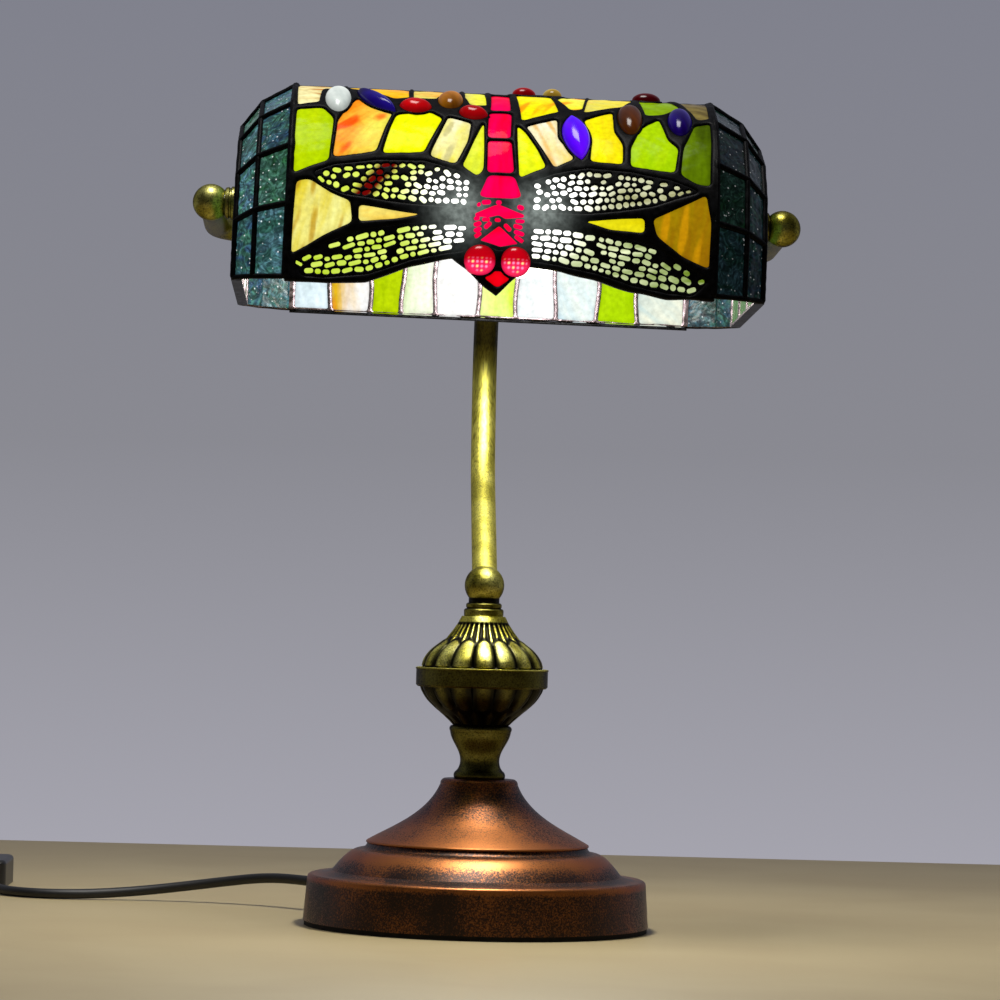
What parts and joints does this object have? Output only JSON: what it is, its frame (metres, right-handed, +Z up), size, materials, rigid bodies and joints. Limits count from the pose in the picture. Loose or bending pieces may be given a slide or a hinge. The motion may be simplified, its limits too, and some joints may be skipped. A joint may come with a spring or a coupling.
{
  "type": "stained glass table lamp",
  "caption": "Banker's desk lamp: barrel-vault leaded glass shade with a dragonfly, tilting on a brass yoke, urn column, round base, cord with switch and plug.",
  "frame": {"origin": "centre of the round foot, on the table", "axes": "+Z up the column, +X to the lamp's right as seen from the front, +Y to the back"},
  "size_m": [0.5277, 0.4119, 0.4142],
  "materials": {
    "copper_base": "antique copper lacquer with black mottled patina, satin",
    "felt": "black felt",
    "cast_weight": "raw casting",
    "steel_hardware": "zinc plated",
    "antique_brass": "antique brass, dark in the hollows and worn on the edges",
    "leading": "black patina solder",
    "glass_green": "lime green opalescent",
    "glass_yellow": "yellow opalescent",
    "glass_opal": "white and amber streaks",
    "glass_amber": "streaky amber",
    "glass_red": "ruby red",
    "glass_wing": "pale clear glass",
    "gem_red": "cut ruby",
    "gem_amber": "amber gem",
    "gem_blue": "violet blue gem",
    "gem_white": "milky white gem",
    "glass_teal": "ripple teal glass",
    "glass_pale_green": "pale green ripple glass",
    "glass_white": "white, amber and green opalescent strips",
    "holder_metal": "satin",
    "holder_plastic": "black",
    "bulb_cap_metal": "bright",
    "bulb_glass": "frosted",
    "cord_pvc": "black flexible sheath",
    "black_plastic": "black moulded",
    "pin_metal": "nickel plated"
  },
  "bodies": {
    "stand": {"base_nut": "steel_hardware", "base_pad": "felt", "base_shell": "copper_base", "base_washer": "steel_hardware", "base_weight": "cast_weight", "bulb_cap": "bulb_cap_metal", "bulb_glass": "bulb_glass", "cord_coil": "cord_pvc", "cord_end": "cord_pvc", "cord_gland": "cord_pvc", "cord_lead": "cord_pvc", "cord_tail": "cord_pvc", "holder_cap": "holder_metal", "holder_contact_block": "holder_plastic", "holder_shell": "holder_plastic", "neck_vase": "antique_brass", "pivot_nipples": "steel_hardware", "pivot_washers": "antique_brass", "plug_body": "black_plastic", "plug_pins": "pin_metal", "stem_ball": "antique_brass", "stem_collar": "antique_brass", "stem_tube": "antique_brass", "switch_base": "black_plastic", "switch_cover": "black_plastic", "threaded_pipe": "steel_hardware", "urn_band": "antique_brass", "urn_lower": "antique_brass", "urn_upper": "antique_brass", "yoke_balls": "antique_brass", "yoke_hub": "antique_brass", "yoke_tube": "antique_brass"},
    "shade": {"back_glass_lower": "glass_white", "back_glass_middle": "glass_white", "back_glass_upper": "glass_white", "back_leading": "leading", "back_rim_wire": "leading", "dragonfly_eyes": "glass_red", "end_leading_left": "leading", "end_leading_right": "leading", "end_panel_left": "glass_pale_green", "end_panel_right": "glass_pale_green", "end_tiles_left": "glass_teal", "end_tiles_right": "glass_teal", "front_leading": "leading", "gem_white": "gem_white", "gems_amber": "gem_amber", "gems_blue": "gem_blue", "gems_red": "gem_red", "glass_amber": "glass_amber", "glass_green": "glass_green", "glass_opal": "glass_opal", "glass_red": "glass_red", "glass_yellow": "glass_yellow", "pivot_bushes": "antique_brass", "wing_glass": "glass_wing", "wing_lace": "leading"},
    "nut_left": {"friction_nut_left": "antique_brass"},
    "nut_right": {"friction_nut_right": "antique_brass"},
    "rocker": {"switch_rocker": "black_plastic"}
  },
  "joints": [
    {"name": "shade_tilt", "type": "hinge", "parent": "stand", "child": "shade", "pos_m": [0, -0.043, 0.3515], "axis": [0.9999, 0, -0.0164], "range_deg": [-35, 35]},
    {"name": "nut_left_turn", "type": "hinge", "parent": "stand", "child": "nut_left", "pos_m": [0, -0.043, 0.3515], "axis": [0.9999, 0, -0.0164], "range_deg": [0, 180]},
    {"name": "nut_right_turn", "type": "hinge", "parent": "stand", "child": "nut_right", "pos_m": [0, -0.043, 0.3515], "axis": [0.9999, 0, -0.0164], "range_deg": [-180, 0]},
    {"name": "switch_rock", "type": "hinge", "parent": "stand", "child": "rocker", "pos_m": [-0.262, 0.219, 0.0124], "axis": [1, 0, 0], "range_deg": [-14, 0]}
  ]
}
